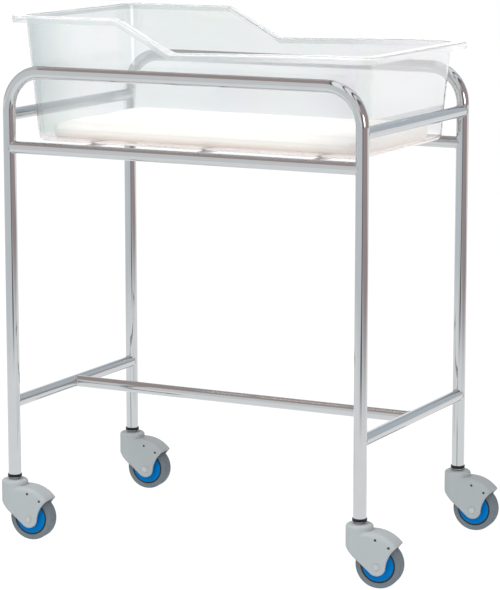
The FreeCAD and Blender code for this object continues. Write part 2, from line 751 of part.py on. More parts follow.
def mattress():
    cover = joined("Part::Cut", cushion("0"), cushion("cover_thickness"))
    floor_z = f"{TUB_BOTTOM} + tub_wall + mattress_gap"
    place(keep("mattress_cover", cover), x="tub_middle_x", z=floor_z)
    place(keep("mattress_foam", cushion("cover_thickness")), x="tub_middle_x", z=floor_z)


def check_and_export():
    """Stop on any failed object or bad shape, then write one file for each sub-part."""
    doc.recompute()
    failed = [item.Name for item in doc.Objects if "Invalid" in item.State or "Error" in item.State]
    if failed:
        raise RuntimeError(f"failed objects: {failed}")
    for label, item in parts.items():
        if item.Shape.isNull() or not item.Shape.isValid() or not item.Shape.Solids:
            raise RuntimeError(f"bad shape: {label}")
    os.makedirs("parts", exist_ok=True)
    for label, item in parts.items():
        item.Shape.exportStep(f"parts/{label}.step")
        print(f"{label}: {len(item.Shape.Solids)} solids, {item.Shape.Volume:.1f} mm3")


fill_sheet()
frame()
casters()
tub()
mattress()
check_and_export()
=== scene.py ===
import math

import bmesh
import bpy
from mathutils import Matrix, Vector
from mathutils.bvhtree import BVHTree


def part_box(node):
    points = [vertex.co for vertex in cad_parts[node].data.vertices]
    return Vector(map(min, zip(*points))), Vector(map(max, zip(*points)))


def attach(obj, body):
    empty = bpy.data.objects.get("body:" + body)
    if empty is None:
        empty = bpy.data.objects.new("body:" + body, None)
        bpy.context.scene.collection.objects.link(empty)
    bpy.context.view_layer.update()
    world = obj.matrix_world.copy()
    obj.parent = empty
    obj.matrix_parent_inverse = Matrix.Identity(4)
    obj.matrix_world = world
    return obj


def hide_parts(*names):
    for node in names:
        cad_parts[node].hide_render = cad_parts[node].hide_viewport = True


bl_info = {
    "name": "Hospital bassinet finish",
    "version": (1, 0, 0),
    "blender": (4, 5, 0),
    "location": "View3D > Sidebar > Bassinet",
    "description": "Dresses the bassinet's solids with chrome, clear plastic, a padded mattress and casters",
    "category": "Object",
}

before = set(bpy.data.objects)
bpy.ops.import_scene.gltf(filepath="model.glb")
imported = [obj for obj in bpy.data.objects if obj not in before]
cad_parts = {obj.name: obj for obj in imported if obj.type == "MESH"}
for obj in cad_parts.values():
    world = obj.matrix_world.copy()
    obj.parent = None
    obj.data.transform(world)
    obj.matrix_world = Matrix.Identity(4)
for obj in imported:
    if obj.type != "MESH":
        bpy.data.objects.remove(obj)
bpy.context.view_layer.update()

CORNERS = ("head_front", "head_rear", "foot_front", "foot_rear")
WHITE = (1.0, 1.0, 1.0)
SAME_PLACE = 1e-6  # points closer than this count as one


def middle(node_name):
    """The centre of a solid's box."""
    low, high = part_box(node_name)
    return (Vector(low) + Vector(high)) / 2


def extent(node_name):
    """The lengths of a solid's box."""
    low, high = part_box(node_name)
    return Vector(high) - Vector(low)


# Sizes read from the solids.
LEG_RADIUS = extent("front_side_frame").y / 2
BAR_RADIUS = extent("head_upper_cross_bar").x / 2
STRETCHER_RADIUS = extent("centre_stretcher").y / 2
LEG_X = extent("front_side_frame").x / 2 - LEG_RADIUS
LEG_Y = abs(middle("front_side_frame").y)
ROD_RADIUS = extent("head_support_rod").x / 2
WHEEL_RADIUS = extent("head_front_tyre").z / 2


# ---------------------------------------------------------------- settings

# What colours and shares have in common.
COLOUR = {"subtype": "COLOR", "size": 3, "min": 0.0, "max": 1.0}
SHARE = {"subtype": "FACTOR", "min": 0.0, "max": 1.0}


class ChromeSettings(bpy.types.PropertyGroup):
    tint: bpy.props.FloatVectorProperty(
        name="Chrome", description="Colour that the plated tubes reflect",
        default=(0.58, 0.585, 0.595), **COLOUR)
    bead_radius: bpy.props.FloatProperty(
        name="Weld bead", description="Radius of the bead round each welded joint",
        default=0.0011, min=0.0003, max=0.003, unit="LENGTH")
    tack_radius: bpy.props.FloatProperty(
        name="Tack bead", description="Radius of the bead that holds each support rod",
        default=0.0007, min=0.0003, max=0.002, unit="LENGTH")
    ripple: bpy.props.FloatProperty(
        name="Ripple", description="How far the bead's width changes along it",
        default=0.12, min=0.0, max=0.5, subtype="FACTOR")


class TubSettings(bpy.types.PropertyGroup):
    tint: bpy.props.FloatVectorProperty(
        name="Clear plastic", description="Colour of the light that passes the tub's wall",
        default=(0.98, 0.985, 0.985), **COLOUR)
    # Painted shade: the next two tints paint the corners, the rear wall and the head wall a deeper grey.
    corner_shade_tint: bpy.props.FloatVectorProperty(
        name="Painted corner shade", description="Painted shade at the corners and in the rear wall",
        default=(0.70, 0.705, 0.725), **COLOUR)
    head_shade_tint: bpy.props.FloatVectorProperty(
        name="Painted shade at the head", description="The same at the tub's high end",
        default=(0.675, 0.715, 0.715), **COLOUR)
    # Painted shade: a warm darker tint near the tub's floor.
    base_shade_tint: bpy.props.FloatVectorProperty(
        name="Base", description="Painted warm shade near the tub's floor",
        default=(0.93, 0.885, 0.87), **COLOUR)
    rim_tint: bpy.props.FloatVectorProperty(
        name="Rim", description="Colour of the rolled rim", default=WHITE, **COLOUR)
    # Painted shade: the grey of the rim's hanging lip, while the rim's upward faces stay white.
    lip_shade_tint: bpy.props.FloatVectorProperty(
        name="Lip", description="Colour of the lip that hangs from the rim",
        default=(0.71, 0.735, 0.735), **COLOUR)
    rim_clearness: bpy.props.FloatProperty(
        name="Rim clearness", description="Share of the light that passes the rim unscattered",
        default=0.82, **SHARE)
    rim_width: bpy.props.FloatProperty(
        name="Rim width", description="How far in from the edge the haze of the rim reaches",
        default=0.018, min=0.002, max=0.03, unit="LENGTH")
    clearness: bpy.props.FloatProperty(
        name="Clearness", description="Share of the light that passes unscattered",
        default=0.93, **SHARE)


class MattressSettings(bpy.types.PropertyGroup):
    colour: bpy.props.FloatVectorProperty(
        name="Cover", description="Colour of the wipe-clean cover",
        default=(0.95, 0.92, 0.875), **COLOUR)
    # Painted shade: the cover is painted darker and warmer towards its base.
    shaded_colour: bpy.props.FloatVectorProperty(
        name="Lower cover", description="Colour of the cover towards its base",
        default=(0.80, 0.73, 0.66), **COLOUR)
    pressure: bpy.props.FloatProperty(
        name="Filling", description="Air pressure that stands in for the foam as the cover is blown up",
        default=4.0, min=0.0, max=20.0)
    swell: bpy.props.FloatProperty(
        name="Swell", description="The farthest that any point of the cover may move",
        default=0.006, min=0.0, max=0.02, unit="LENGTH")
    seam_radius: bpy.props.FloatProperty(
        name="Seam", description="Radius of the welded seam round the cover",
        default=0.0009, min=0.0003, max=0.003, unit="LENGTH")


class CasterSettings(bpy.types.PropertyGroup):
    housing: bpy.props.FloatVectorProperty(
        name="Housing", description="Colour of the moulded housings",
        default=(0.345, 0.374, 0.386), **COLOUR)
    guard: bpy.props.FloatVectorProperty(
        name="Thread guard", description="Colour of the discs beside the wheel",
        default=(0.0, 0.155, 0.46), **COLOUR)
    tyre: bpy.props.FloatVectorProperty(
        name="Tyre", description="Colour of the rubber", default=(0.126, 0.156, 0.176), **COLOUR)
    rib_count: bpy.props.IntProperty(
        name="Tread ribs", description="Number of fine ribs round each tyre", default=110, min=8, max=200)
    rib_height: bpy.props.FloatProperty(
        name="Rib height", description="How far each tread rib stands out of the tyre",
        default=0.00022, min=0.0001, max=0.001, unit="LENGTH")


class StudioSettings(bpy.types.PropertyGroup):
    focal_length: bpy.props.FloatProperty(
        name="Focal length", description="Focal length of the camera",
        default=159.94, min=10.0, max=400.0, unit="CAMERA")
    camera_place: bpy.props.FloatVectorProperty(
        name="Camera", description="Where the camera stands",
        default=(2.348, -4.507, 1.371), size=3, subtype="TRANSLATION")
    camera_back: bpy.props.FloatVectorProperty(
        name="Camera back", description="Direction from what the camera looks at back to the camera",
        default=(0.45093, -0.87570, 0.17277), size=3, subtype="DIRECTION")
    floor_size: bpy.props.FloatProperty(
        name="Floor", description="Length of the studio floor's side",
        default=24.0, min=2.0, max=60.0, unit="LENGTH")
    key_power: bpy.props.FloatProperty(
        name="Key light", description="Power of the soft light above",
        default=71.0, min=0.0, max=2000.0, subtype="POWER")


# ---------------------------------------------------------------- nodes

def feed(tree, given, socket):
    """Set a socket to a number, a colour or a vector, or link it to the socket that feeds it."""
    if isinstance(given, bpy.types.NodeSocket):
        tree.links.new(given, socket)
    else:
        socket.default_value = given


def fill(tree, item, inputs):
    """Feed a node's inputs."""
    for key, given in inputs.items():
        feed(tree, given, item.inputs[key])


def add(tree, kind, inputs=None, **settings):
    """Add a node with its settings and what feeds its inputs."""
    item = tree.nodes.new(kind)
    for name, setting in settings.items():
        setattr(item, name, setting)
    fill(tree, item, inputs or {})
    return item


def math_of(tree, operation, first, second=0.0, third=0.0):
    """The result of a Math node."""
    return add(tree, "ShaderNodeMath", {0: first, 1: second, 2: third}, operation=operation).outputs[0]


def axes_of(tree, vector):
    """The three parts of a vector."""
    return add(tree, "ShaderNodeSeparateXYZ", {0: vector}).outputs


def joined(tree, *parts):
    """A vector or a colour from its three parts."""
    return add(tree, "ShaderNodeCombineXYZ", dict(enumerate(parts))).outputs[0]


def reach(tree, vector, direction):
    """How far a vector reaches in a direction."""
    return add(tree, "ShaderNodeVectorMath", {0: vector, 1: direction},
               operation="DOT_PRODUCT").outputs["Value"]


def ramp(tree, value, low, high, start=0.0, end=1.0):
    """A smooth step from start to end, as a value runs from low to high."""
    return add(tree, "ShaderNodeMapRange", {"Value": value, "From Min": low, "From Max": high,
                                            "To Min": start, "To Max": end},
               interpolation_type="SMOOTHSTEP").outputs["Result"]


def blended(tree, share, first, second, how="MIX"):
    """Two colours mixed by a share; each is a colour or the socket that feeds it."""
    item = add(tree, "ShaderNodeMix", data_type="RGBA", blend_type=how)
    for key, kind, given in (("Factor", "VALUE", share), ("A", "RGBA", first), ("B", "RGBA", second)):
        if kind == "RGBA" and not isinstance(given, bpy.types.NodeSocket):
            given = (*given, 1.0)
        feed(tree, given, next(s for s in item.inputs if s.name == key and s.type == kind))
    return next(s for s in item.outputs if s.type == "RGBA")


def noise(tree, vector, scale, detail=3.0, roughness=0.5):
    """Cloudy noise from 0 to 1."""
    return add(tree, "ShaderNodeTexNoise", {"Vector": vector, "Scale": scale, "Detail": detail,
                                            "Roughness": roughness}).outputs["Fac"]


def new_tree(kind, name, inputs, outputs):
    """A node group with inputs (name, type, default) and outputs (name, type); gives what is
    given to it, by name, and the node that takes its results."""
    tree = bpy.data.node_groups.new(name, kind)
    for label, socket_type, *default in inputs:
        socket = tree.interface.new_socket(label, in_out="INPUT", socket_type=f"NodeSocket{socket_type}")
        if default:
            socket.default_value = default[0]
    for label, socket_type in outputs:
        tree.interface.new_socket(label, in_out="OUTPUT", socket_type=f"NodeSocket{socket_type}")
    return tree, add(tree, "NodeGroupInput").outputs, add(tree, "NodeGroupOutput")


def place_group(tree, name, inputs):
    """Put a shader node group into a material."""
    return add(tree, "ShaderNodeGroup", inputs, node_tree=bpy.data.node_groups[name]).outputs


def make_moulded_grain():
    """Fine spark-eroded grain of moulded plastic and rubber, with slow cloudy tone."""
    tree, given, result = new_tree(
        "ShaderNodeTree", "moulded_grain",
        [("Vector", "Vector"), ("Colour", "Color", (0.5, 0.5, 0.5, 1.0)), ("Grain size", "Float", 0.0006),
         ("Cloud", "Float", 0.06), ("Roughness", "Float", 0.5)],
        [("Colour", "Color"), ("Roughness", "Float"), ("Height", "Float")])
    scale = math_of(tree, "DIVIDE", 1.0, given["Grain size"])
    fine = noise(tree, given["Vector"], scale, 2.0)
    slow = noise(tree, given["Vector"], 24.0, 4.0, 0.6)
    shade = math_of(tree, "MULTIPLY_ADD", math_of(tree, "SUBTRACT", slow, 0.5), given["Cloud"], 1.0)
    speck = math_of(tree, "MULTIPLY_ADD", math_of(tree, "SUBTRACT", fine, 0.5), 0.05, shade)
    fill(tree, result, {
        "Colour": blended(tree, 1.0, given["Colour"], joined(tree, speck, speck, speck), "MULTIPLY"),
        "Roughness": math_of(tree, "MULTIPLY_ADD", slow, 0.12, given["Roughness"]), "Height": fine})


def make_handling_marks():
    """Wiping smears and hairline scratches, as masks and a height."""
    tree, given, result = new_tree(
        "ShaderNodeTree", "handling_marks",
        [("Vector", "Vector"), ("Smear size", "Float", 0.05), ("Scratch size", "Float", 0.0012)],
        [("Smears", "Float"), ("Scratches", "Float"), ("Height", "Float")])
    smear_scale = math_of(tree, "DIVIDE", 1.0, given["Smear size"])
    smears = noise(tree, given["Vector"], smear_scale, 5.0, 0.65)
    scratch_scale = math_of(tree, "DIVIDE", 1.0, given["Scratch size"])
    lines = 0.0
    for turn in ((0.5, 0.2, 0.9), (1.7, 0.8, 0.1), (0.1, 1.3, 2.2)):
        stretched = add(tree, "ShaderNodeMapping", {"Vector": given["Vector"], "Rotation": turn,
                                                    "Scale": (1.0, 0.04, 1.0)}).outputs[0]
        line = ramp(tree, noise(tree, stretched, scratch_scale, 0.0), 0.76, 0.84)
        lines = math_of(tree, "MAXIMUM", lines, line)
    patchy = math_of(tree, "MULTIPLY", lines, ramp(tree, smears, 0.45, 0.7))
    fill(tree, result, {"Smears": ramp(tree, smears, 0.35, 0.75), "Scratches": patchy,
                        "Height": math_of(tree, "MULTIPLY", patchy, -1.0)})


def make_settled_dust():
    """A thin film of dust on what faces up."""
    tree, given, result = new_tree(
        "ShaderNodeTree", "settled_dust",
        [("Vector", "Vector"), ("Colour", "Color", (0.5, 0.5, 0.5, 1.0)), ("Amount", "Float", 0.1)],
        [("Colour", "Color")])
    up = axes_of(tree, add(tree, "ShaderNodeNewGeometry").outputs["Normal"])[2]
    cloud = noise(tree, given["Vector"], 180.0, 4.0, 0.7)
    patchy = math_of(tree, "MULTIPLY", ramp(tree, up, 0.3, 1.0), cloud)
    mask = math_of(tree, "MULTIPLY", patchy, given["Amount"])
    fill(tree, result, {"Colour": blended(tree, mask, given["Colour"], (0.62, 0.60, 0.56))})


def make_stress_tint():
    """The faint coloured bands that bent clear plastic shows."""
    tree, given, result = new_tree(
        "ShaderNodeTree", "stress_tint",
        [("Vector", "Vector"), ("Colour", "Color", (*WHITE, 1.0)), ("Amount", "Float", 0.1)],
        [("Colour", "Color")])
    flow = noise(tree, given["Vector"], 3.2, 1.0)
    waves = []
    for shift in (0.0, 2.1, 4.2):
        angle = math_of(tree, "MULTIPLY_ADD", flow, 42.0, shift)
        waves.append(math_of(tree, "MULTIPLY_ADD", math_of(tree, "SINE", angle), 0.5, 0.5))
    patchy = ramp(tree, noise(tree, given["Vector"], 5.0, 2.0), 0.45, 0.7)
    where = math_of(tree, "MULTIPLY", given["Amount"], patchy)
    fill(tree, result, {"Colour": blended(tree, where, given["Colour"], joined(tree, *waves))})


def new_material(name):
    """A material with a Principled shader; gives the node tree, the shader and object coordinates."""
    material = bpy.data.materials.new(name)
    material.use_nodes = True
    tree = material.node_tree
    tree.nodes.clear()
    shader = add(tree, "ShaderNodeBsdfPrincipled")
    add(tree, "ShaderNodeOutputMaterial", {"Surface": shader.outputs[0]})
    return material, tree, shader, add(tree, "ShaderNodeTexCoord").outputs["Object"]


def bump(tree, shader, height, distance, edge_radius=0.0):
    """Give a shader bumps; with an edge radius, its edges look rounded too."""
    item = add(tree, "ShaderNodeBump", {"Height": height, "Distance": distance})
    if edge_radius:
        round_edge = add(tree, "ShaderNodeBevel", {"Radius": edge_radius}, samples=8)
        fill(tree, item, {"Normal": round_edge.outputs[0]})
    fill(tree, shader, {"Normal": item.outputs[0]})


def moulded(name, colour, roughness, grain=0.0006, depth=0.00003, cloud=0.06, dust=0.0, edge_radius=0.0,
            specular=0.5):
    """Moulded plastic or rubber with its grain and some dust."""
    material, tree, shader, place = new_material(name)
    grainy = place_group(tree, "moulded_grain", {"Vector": place, "Colour": (*colour, 1.0),
                                                 "Grain size": grain, "Cloud": cloud, "Roughness": roughness})
    settled = place_group(tree, "settled_dust", {"Vector": place, "Colour": grainy["Colour"], "Amount": dust})
    fill(tree, shader, {"Base Color": settled["Colour"], "Roughness": grainy["Roughness"],
                        "Specular IOR Level": specular})
    bump(tree, shader, grainy["Height"], depth, edge_radius)
    return material


def plated(name, colour, roughness, smear, draw=0.0):
    """Metal with wiping smears and hairline scratches; draw is the depth of its drawing waves."""
    material, tree, shader, place = new_material(name)
    marks = place_group(tree, "handling_marks", {"Vector": place, "Smear size": 0.06, "Scratch size": 0.0012})
    tone = math_of(tree, "MULTIPLY_ADD", marks["Smears"], -0.03, 1.0)
    tone = math_of(tree, "MULTIPLY_ADD", marks["Scratches"], -0.10, tone)
    metal = blended(tree, 1.0, colour, joined(tree, tone, tone, tone), "MULTIPLY")
    rough = math_of(tree, "MULTIPLY_ADD", marks["Smears"], smear, roughness)
    rough = math_of(tree, "MULTIPLY_ADD", marks["Scratches"], 0.12, rough)
    fill(tree, shader, {"Base Color": metal, "Roughness": rough, "Metallic": 1.0})
    height = marks["Height"]
    if draw:
        height = math_of(tree, "MULTIPLY_ADD", noise(tree, place, 260.0, 2.0), draw, height)
    bump(tree, shader, height, 0.000004)
    return material


def paint(node_name, material):
    """Give a solid its material."""
    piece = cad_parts[node_name]
    for slot in piece.material_slots:
        slot.material = material


# ---------------------------------------------------------------- meshes

def new_object(name, data, *materials):
    """A new object in the scene, with the materials of its mesh."""
    item = bpy.data.objects.new(name, data)
    bpy.context.scene.collection.objects.link(item)
    for material in materials:
        data.materials.append(material)
    return item


def as_mesh(piece):
    """A piece's mesh with its modifiers applied."""
    graph = bpy.context.evaluated_depsgraph_get()
    return bpy.data.meshes.new_from_object(piece.evaluated_get(graph), depsgraph=graph)


def curve_piece(name, loops, cyclic=True):
    """A curve object of one poly spline for each list of points."""
    curve = bpy.data.curves.new(name, "CURVE")
    curve.dimensions = "3D"
    for points in loops:
        spline = curve.splines.new("POLY")
        spline.points.add(len(points) - 1)
        for point, place in zip(spline.points, points):
            point.co = (*place, 1.0)
        spline.use_cyclic_u = cyclic
    return new_object(name, curve)


def geometry_tree(name, sockets):
    """A new Geometry Nodes tree that takes and gives geometry, with its other inputs."""
    geometry = ("Geometry", "Geometry")
    return new_tree("GeometryNodeTree", name, [geometry, *sockets, ("Material", "Material")], [geometry])


def end_tree(tree, form, material, result):
    """End a Geometry Nodes tree in a real mesh with its material."""
    whole = add(tree, "GeometryNodeRealizeInstances", {0: form}).outputs[0]
    painted = add(tree, "GeometryNodeSetMaterial", {"Geometry": whole, "Material": material}).outputs[0]
    fill(tree, result, {"Geometry": painted})
    return tree


def swept(tree, line, radius, sides, inputs=None):
    """A closed smooth tube along a curve."""
    ring = add(tree, "GeometryNodeCurvePrimitiveCircle", {"Resolution": sides, "Radius": radius}).outputs[0]
    tube = add(tree, "GeometryNodeCurveToMesh", {"Curve": line, "Profile Curve": ring, "Fill Caps": True,
                                                 **(inputs or {})}).outputs[0]
    return add(tree, "GeometryNodeSetShadeSmooth", {0: tube}).outputs[0]


def grown(piece, tree, name, **sizes):
    """Run a Geometry Nodes tree on a piece and return the result as a plain mesh piece."""
    modifier = piece.modifiers.new("growth", "NODES")
    modifier.node_group = tree
    named = {item.name: item.identifier for item in tree.interface.items_tree if item.in_out == "INPUT"}
    for label, number in sizes.items():
        modifier[named[label]] = number
    mesh = as_mesh(piece)
    mesh.name = name
    bpy.data.objects.remove(piece)
    return new_object(name, mesh)


def make_bead_tree():
    """A round bead along each curve, whose width ripples."""
    tree, given, result = geometry_tree("bead_along_line", [
        ("Radius", "Float", 0.001), ("Ripple", "Float", 0.1), ("Pitch", "Float", 0.004),
        ("Step", "Float", 0.001)])
    line = add(tree, "GeometryNodeResampleCurve", {"Curve": given["Geometry"], "Length": given["Step"]},
               mode="LENGTH").outputs[0]
    along = add(tree, "GeometryNodeSplineParameter").outputs["Length"]
    turns = math_of(tree, "MULTIPLY", math_of(tree, "DIVIDE", along, given["Pitch"]), math.tau)
    width = math_of(tree, "MULTIPLY_ADD", math_of(tree, "SINE", turns), given["Ripple"], 1.0)
    bead = swept(tree, line, given["Radius"], 8, {"Scale": width})
    return end_tree(tree, bead, given["Material"], result)


def make_rib_tree():
    """Copies of a rib along a line, spread round the Y axis."""
    tree, given, result = geometry_tree("ribs_round_axis", [("Count", "Int", 12), ("Radius", "Float", 0.001)])
    rib = swept(tree, given["Geometry"], given["Radius"], 6)
    points = add(tree, "GeometryNodePoints", {"Count": given["Count"]}).outputs[0]
    number = add(tree, "GeometryNodeInputIndex").outputs[0]
    angle = math_of(tree, "MULTIPLY", math_of(tree, "DIVIDE", number, given["Count"]), math.tau)
    spread = add(tree, "GeometryNodeInstanceOnPoints", {"Points": points, "Instance": rib,
                                                        "Rotation": joined(tree, 0.0, angle, 0.0)}).outputs[0]
    return end_tree(tree, spread, given["Material"], result)


def make_shade_disc_tree():
    """A short cylinder along the Y axis at each point."""
    tree, given, result = geometry_tree("shade_discs_at_points", [
        ("Radius", "Float", 0.002), ("Depth", "Float", 0.002)])
    plug = add(tree, "GeometryNodeMeshCylinder", {"Vertices": 28, "Radius": given["Radius"],
                                                  "Depth": given["Depth"]}).outputs[0]
    spread = add(tree, "GeometryNodeInstanceOnPoints", {"Points": given["Geometry"], "Instance": plug,
                                                        "Rotation": (math.pi / 2, 0.0, 0.0)}).outputs[0]
    return end_tree(tree, spread, given["Material"], result)


# ---------------------------------------------------------------- frame

SADDLE_POINTS = 72


def saddle(centre, along, post, post_radius, bar_radius, rise=0.0):
    """The line round a bar where it runs into a post; along points out of the post.

    Rise is how far above the post's axis the bar's own axis passes, for a level post.
    """
    along, post = Vector(along), Vector(post)
    side = post.cross(along)
    side *= math.copysign(1.0, side.z)
    points = []
    for number in range(SADDLE_POINTS):
        turn = math.tau * number / SADDLE_POINTS
        across = rise + bar_radius * math.sin(turn)
        out = math.sqrt(post_radius ** 2 - across ** 2)
        points.append(Vector(centre) + along * out + side * across + post * bar_radius * math.cos(turn))
    return points


class FinishTubes(bpy.types.Operator):
    """Plate the frame's tubes and rods"""
    bl_idname = "bassinet.finish_tubes"
    bl_label = "Chrome tubes"

    def execute(self, context):
        chrome = plated("bright_chrome", context.scene.bassinet_chrome.tint, 0.035, smear=0.05, draw=0.25)
        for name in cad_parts:
            if name.endswith(("_frame", "_rail", "_bar", "_stretcher", "_rod")):
                paint(name, chrome)
        return {"FINISHED"}


class WeldBeads(bpy.types.Operator):
    """Lay a polished bead round each welded joint of the frame"""
    bl_idname = "bassinet.weld_beads"
    bl_label = "Weld beads"

    def execute(self, context):
        settings = context.scene.bassinet_chrome
        chrome = bpy.data.materials["bright_chrome"]
        tree = make_bead_tree()
        rail_z = middle("front_tub_rail").z
        loops = []
        for x, end in ((-LEG_X, "head"), (LEG_X, "foot")):
            inward = (-math.copysign(1.0, x), 0, 0)
            for y in (-LEG_Y, LEG_Y):
                loops.append(saddle((x, y, rail_z), inward, (0, 0, 1), LEG_RADIUS, BAR_RADIUS))
                for level in ("upper", "lower"):
                    z = middle(f"{end}_{level}_cross_bar").z
                    loops.append(saddle((x, y, z), (0, -math.copysign(1.0, y), 0), (0, 0, 1),
                                        LEG_RADIUS, BAR_RADIUS))
            z = middle("centre_stretcher").z
            loops.append(saddle((x, 0, z), inward, (0, 1, 0), BAR_RADIUS, STRETCHER_RADIUS))
        beads = grown(curve_piece("joint_lines", loops), tree, "weld_beads", Radius=settings.bead_radius,
                      Ripple=settings.ripple, Pitch=0.0035, Step=0.0012, Material=chrome)
        loops = []
        for rod in ("head_support_rod", "middle_support_rod", "foot_support_rod"):
            for y in (-LEG_Y, LEG_Y):
                loops.append(saddle((middle(rod).x, y, rail_z), (0, -math.copysign(1.0, y), 0), (1, 0, 0),
                                    BAR_RADIUS, ROD_RADIUS, rise=middle(rod).z - rail_z))
        tacks = grown(curve_piece("rod_lines", loops), tree, "rod_tacks", Radius=settings.tack_radius,
                      Ripple=settings.ripple, Pitch=0.0025, Step=0.0007, Material=chrome)
        for piece in (beads, tacks):
            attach(piece, "frame")
        return {"FINISHED"}


# ---------------------------------------------------------------- tub

# Places in the tub's plastics are metres. X runs to the foot end, Y to the rear side.

def clear_plastic(name, clearness, roughness):
    """Clear moulded plastic that lets the lamps' light through; gives what new_material gives."""
    material, tree, shader, place = new_material(name)
    marks = place_group(tree, "handling_marks", {"Vector": place, "Smear size": 0.12, "Scratch size": 0.0016})
    rough = math_of(tree, "MULTIPLY_ADD", marks["Smears"], 0.02, roughness)
    rough = math_of(tree, "MULTIPLY_ADD", marks["Scratches"], 0.05, rough)
    fill(tree, shader, {"Roughness": rough, "Transmission Weight": clearness, "IOR": 1.49})
    waves = noise(tree, place, 9.0, 2.0)
    bump(tree, shader, math_of(tree, "MULTIPLY_ADD", waves, 60.0, marks["Height"]), 0.000006)
    clear = add(tree, "ShaderNodeBsdfTransparent", {"Color": (0.98, 0.98, 0.98, 1.0)})
    shadow = add(tree, "ShaderNodeLightPath").outputs["Is Shadow Ray"]
    passed = add(tree, "ShaderNodeMixShader", {0: shadow, 1: shader.outputs[0], 2: clear.outputs[0]})
    output = next(item for item in tree.nodes if item.type == "OUTPUT_MATERIAL")
    fill(tree, output, {"Surface": passed.outputs[0]})
    return material, tree, shader, place


def wall_plastic(settings):
    """The walls: a faint grey tint, with painted shade that is deeper at the corners and in the rear and head
    walls, and a painted warm shade near the base.
    """
    material, tree, shader, place = clear_plastic("clear_tub_plastic", settings.clearness, 0.01)
    along, across, height = axes_of(tree, place)
    # Painted shade: deeper grey at the corners, in the rear wall and in the head wall, with a cloudy random
    # tone, eased off in the foot wall.
    corner = math_of(tree, "MULTIPLY", ramp(tree, math_of(tree, "ABSOLUTE", along), 0.22, 0.38),
                     ramp(tree, math_of(tree, "ABSOLUTE", across), 0.06, 0.22))
    corner = math_of(tree, "MULTIPLY", corner, ramp(tree, along, 0.1, 0.3, 1.0, 0.35))
    rear = math_of(tree, "MULTIPLY", ramp(tree, across, 0.10, 0.20), 0.7)
    head = math_of(tree, "MULTIPLY", ramp(tree, along, -0.28, -0.36), 0.5)
    shaded_places = math_of(tree, "MAXIMUM", math_of(tree, "MAXIMUM", corner, rear), head)
    painted_shade_share = math_of(tree, "MULTIPLY_ADD", noise(tree, place, 6.0, 2.0), 0.16, shaded_places)
    painted_shade_share = math_of(tree, "MULTIPLY", painted_shade_share, ramp(tree, along, 0.33, 0.37, 1.0, 0.3))
    painted_shade_colour = blended(tree, ramp(tree, along, -0.25, 0.15), settings.head_shade_tint, settings.corner_shade_tint)
    body = blended(tree, painted_shade_share, settings.tint, painted_shade_colour)
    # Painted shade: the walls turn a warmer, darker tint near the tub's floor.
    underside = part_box("tub")[0][2]
    low = ramp(tree, height, underside + 0.022, underside + 0.006)
    body = blended(tree, low, body, settings.base_shade_tint)
    tinted = place_group(tree, "stress_tint", {"Vector": place, "Colour": body, "Amount": 0.035})
    fill(tree, shader, {"Base Color": tinted["Colour"]})
    return material


def rim_plastic(settings):
    """The rolled rim: hazier from the forming, so it catches the light. Its faces that turn up keep the rim's
    white; the hanging lip gets a painted grey shade, painted lighter towards the foot end.
    """
    material, tree, shader, place = clear_plastic("rim_plastic", settings.rim_clearness, 0.12)
    # Painted light and shade: faces that turn up stay white, the hanging lip gets a painted grey shade that
    # is painted lighter towards the foot end.
    normal = add(tree, "ShaderNodeNewGeometry").outputs["Normal"]
    upright = math_of(tree, "ABSOLUTE", axes_of(tree, normal)[2])
    uneven = math_of(tree, "SUBTRACT", noise(tree, place, 14.0, 3.0), 0.5)
    flange = ramp(tree, math_of(tree, "MULTIPLY_ADD", uneven, 0.2, upright), 0.05, 0.45)
    lip_lightening = ramp(tree, axes_of(tree, place)[0], 0.05, 0.36, 0.0, 0.8)
    lip = blended(tree, lip_lightening, settings.lip_shade_tint, settings.rim_tint)
    fill(tree, shader, {"Base Color": blended(tree, flange, lip, settings.rim_tint)})
    return material


class ClearTub(bpy.types.Operator):
    """Form the clear tub: glossy walls and a hazier rolled rim"""
    bl_idname = "bassinet.clear_tub"
    bl_label = "Clear tub"

    def execute(self, context):
        settings = context.scene.bassinet_tub
        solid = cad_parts["tub"].data
        form = bmesh.new()
        form.from_mesh(solid)
        bmesh.ops.remove_doubles(form, verts=form.verts, dist=SAME_PLACE)
        centre = middle("tub")
        inner = extent("tub") / 2 - Vector((settings.rim_width, settings.rim_width, 0))
        for face in form.faces:
            face.smooth = True
            outward = max(max(abs(v.co.x - centre.x) - inner.x, abs(v.co.y - centre.y) - inner.y)
                          for v in face.verts)
            face.material_index = 1 if outward > 0 else 0
        mesh = bpy.data.meshes.new("clear_tub")
        form.to_mesh(mesh)
        form.free()
        if len(mesh.loops) != len(solid.loops):
            raise RuntimeError("the merged tub lost faces")
        mesh.normals_split_custom_set([corner.vector[:] for corner in solid.corner_normals])
        tub = new_object("clear_tub", mesh, wall_plastic(settings), rim_plastic(settings))
        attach(tub, "tub")
        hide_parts("tub")
        return {"FINISHED"}


# ---------------------------------------------------------------- mattress

# The cover before it is blown up: the room it leaves at its sides, base and top in the solid's
# box, the radius of its upright corners, the width of its bevelled edge and its mesh's cells.
SIDE_ROOM, BASE_ROOM, TOP_ROOM = 0.004, 0.0005, 0.0035
COVER_CORNER, COVER_EDGE, COVER_CELL = 0.030, 0.008, 0.0055

BLOWING_FRAMES = 20
LEAST_HEIGHT = 0.0004  # how far the blown cover stays above the solid's base
SEAM_LEVEL = 0.62      # where the seam runs, as a share of the height


